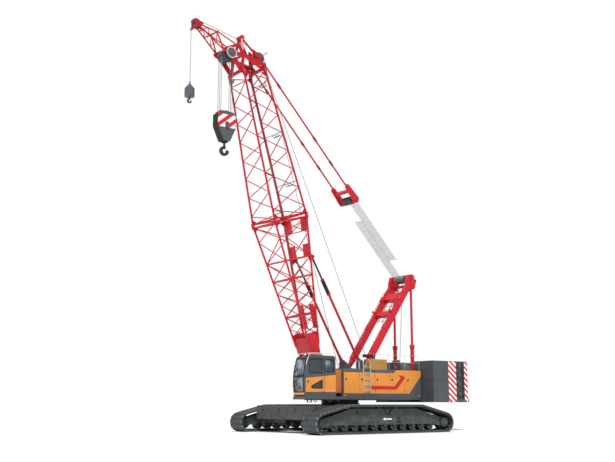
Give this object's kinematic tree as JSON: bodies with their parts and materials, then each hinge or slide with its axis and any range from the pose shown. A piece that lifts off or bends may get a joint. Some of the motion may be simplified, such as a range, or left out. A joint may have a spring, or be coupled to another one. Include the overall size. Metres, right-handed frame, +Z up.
{
  "type": "crawler crane",
  "caption": "Crawler crane with a lattice boom, a short fixed tip jib, two hook blocks, an A-shaped gantry, rear counterweights and flat-shoe tracks.",
  "frame": {"origin": "on the ground, under the slewing axis", "axes": "+X to the boom's side, +Y to the cab's side, +Z up"},
  "size_m": [16.75, 7.5, 20.44],
  "materials": {
    "frame_paint": "satin",
    "machined_steel": "satin",
    "track_steel": "rough",
    "wheel_steel": "satin",
    "orange_paint": "gloss",
    "weight_paint": "satin",
    "engine_iron": "rough",
    "cab_paint": "gloss",
    "glass": "clear",
    "seat_fabric": "matt",
    "red_paint": "gloss",
    "sheave_steel": "satin",
    "rope_steel": "satin",
    "hook_paint": "satin",
    "hook_iron": "satin"
  },
  "bodies": {
    "undercarriage": {"carbody": "frame_paint", "slew_ring": "machined_steel", "front_ballast": "frame_paint", "rear_ballast": "frame_paint", "left_track": "track_steel", "right_track": "track_steel", "left_track_frame": "frame_paint", "right_track_frame": "frame_paint", "left_track_rollers": "wheel_steel", "right_track_rollers": "wheel_steel", "left_idler": "wheel_steel", "right_idler": "wheel_steel", "left_sprocket": "wheel_steel", "right_sprocket": "wheel_steel"},
    "upperworks": {"upper_frame": "frame_paint", "left_house": "orange_paint", "right_house": "orange_paint", "counterweight_tray": "weight_paint", "left_counterweight": "weight_paint", "right_counterweight": "weight_paint", "engine_block": "engine_iron", "hoist_winches": "wheel_steel", "luffing_winch": "wheel_steel", "cab_shell": "cab_paint", "cab_glass": "glass", "operator_seat": "seat_fabric", "gantry_front_legs": "red_paint", "gantry_back_legs": "red_paint", "gantry_head": "red_paint", "gantry_sheaves": "sheave_steel", "roof_box": "orange_paint", "exhaust_pipe": "machined_steel", "air_cleaner": "frame_paint", "access_ladder": "machined_steel"},
    "cab_door": {"cab_door": "cab_paint", "cab_door_glass": "glass"},
    "boom": {"boom_base": "red_paint", "boom_top": "red_paint", "boom_head": "red_paint", "head_sheaves": "sheave_steel", "guide_sheaves": "sheave_steel", "tip_jib": "red_paint", "jib_links": "red_paint", "tip_sheave": "sheave_steel"},
    "pendants": {"pendant_bars": "red_paint", "bridle": "red_paint", "bridle_sheaves": "sheave_steel", "bridle_ropes": "rope_steel"},
    "gantry_ropes": {"gantry_ropes": "rope_steel"},
    "backstop_tubes": {"backstop_tubes": "red_paint"},
    "backstop_rods": {"backstop_rods": "machined_steel"},
    "main_block": {"hoist_ropes": "rope_steel", "hook_block": "hook_paint"},
    "main_hook": {"main_hook": "hook_iron"},
    "aux_block": {"aux_rope": "rope_steel", "aux_weight": "hook_paint"},
    "aux_hook": {"aux_hook": "hook_iron"}
  },
  "joints": [
    {"name": "slewing", "type": "hinge", "parent": "undercarriage", "child": "upperworks", "pos_m": [0, 0, 1.6], "axis": [0, 0, 1], "continuous": true},
    {"name": "boom_luffing", "type": "hinge", "parent": "upperworks", "child": "boom", "pos_m": [1.504, 0, 2], "axis": [0, 1, 0], "range_deg": [-6, 44]},
    {"name": "pendant_pivot", "type": "hinge", "parent": "boom", "child": "pendants", "pos_m": [5.34904, 0, 18.7018], "axis": [0, 1, 0], "range_deg": [-5.3, 0.74]},
    {"name": "suspension_rope_pivot", "type": "hinge", "parent": "upperworks", "child": "gantry_ropes", "pos_m": [-4.49, 0, 8.3], "axis": [0, 1, 0], "range_deg": [-5.3, 38.74]},
    {"name": "backstop_pivot", "type": "hinge", "parent": "upperworks", "child": "backstop_tubes", "pos_m": [-0.66, 0, 3.62], "axis": [0, 1, 0], "range_deg": [-5.57, 40.72]},
    {"name": "backstop_slide", "type": "slide", "parent": "backstop_tubes", "child": "backstop_rods", "axis": [0.5036, 0, 0.864], "range_m": [-0.2816, 2.0591]},
    {"name": "main_block_pivot", "type": "hinge", "parent": "boom", "child": "main_block", "pos_m": [7.34814, 0, 18.86905], "axis": [0, 1, 0], "range_deg": [-44.02, 6.02]},
    {"name": "main_hook_swivel", "type": "hinge", "parent": "main_block", "child": "main_hook", "pos_m": [7.34814, 0, 14.27], "axis": [0, 0, 1], "continuous": true},
    {"name": "aux_block_pivot", "type": "hinge", "parent": "boom", "child": "aux_block", "pos_m": [9.0969, 0, 20.15], "axis": [0, 1, 0], "range_deg": [-44.02, 6.02]},
    {"name": "aux_hook_swivel", "type": "hinge", "parent": "aux_block", "child": "aux_hook", "pos_m": [9.38, 0, 16.25], "axis": [0, 0, 1], "continuous": true},
    {"name": "cab_door_hinge", "type": "hinge", "parent": "upperworks", "child": "cab_door", "pos_m": [2.33, 1.6, 2.8], "axis": [0, 0, 1], "range_deg": [0, 120]}
  ],
  "couplings": [
    {"joint": "pendant_pivot", "follows": "boom_luffing", "ratio": -0.12},
    {"joint": "suspension_rope_pivot", "follows": "boom_luffing", "ratio": 0.88},
    {"joint": "backstop_pivot", "follows": "boom_luffing", "ratio": 0.925},
    {"joint": "backstop_slide", "follows": "boom_luffing", "m_per_rad": 2.68},
    {"joint": "main_block_pivot", "follows": "boom_luffing", "ratio": -1},
    {"joint": "aux_block_pivot", "follows": "boom_luffing", "ratio": -1}
  ]
}
